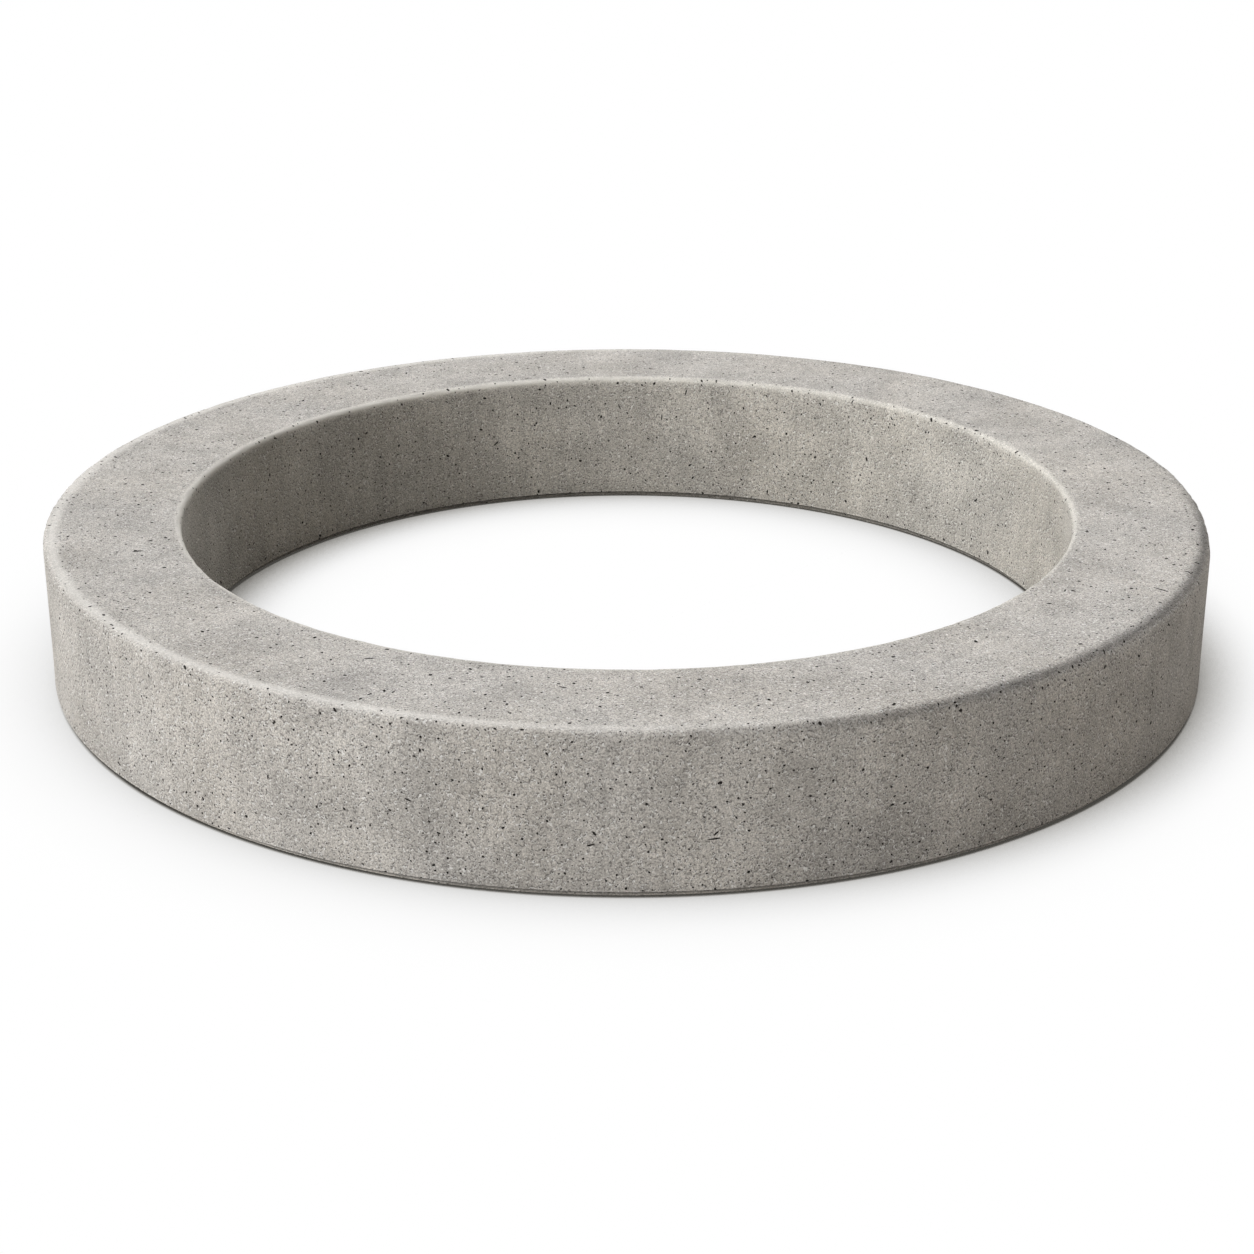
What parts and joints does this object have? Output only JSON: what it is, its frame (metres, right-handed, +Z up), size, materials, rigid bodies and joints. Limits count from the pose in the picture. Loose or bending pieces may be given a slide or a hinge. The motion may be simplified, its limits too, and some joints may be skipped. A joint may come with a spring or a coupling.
{
  "type": "manhole adjustment ring",
  "caption": "Low round precast concrete ring of rectangular section with rounded upper edges, bedded under a manhole cover frame to raise it to street level.",
  "frame": {"origin": "on the ring's axis, in the plane of its bottom bed face", "axes": "+Z up along the ring's axis; the ring is the same all round, so X and Y are free"},
  "size_m": [0.78, 0.78, 0.1],
  "materials": {
    "concrete": "as cast, matt, with small air pores and a sandy skin"
  },
  "bodies": {
    "root": {"concrete_ring": "concrete"}
  },
  "joints": []
}
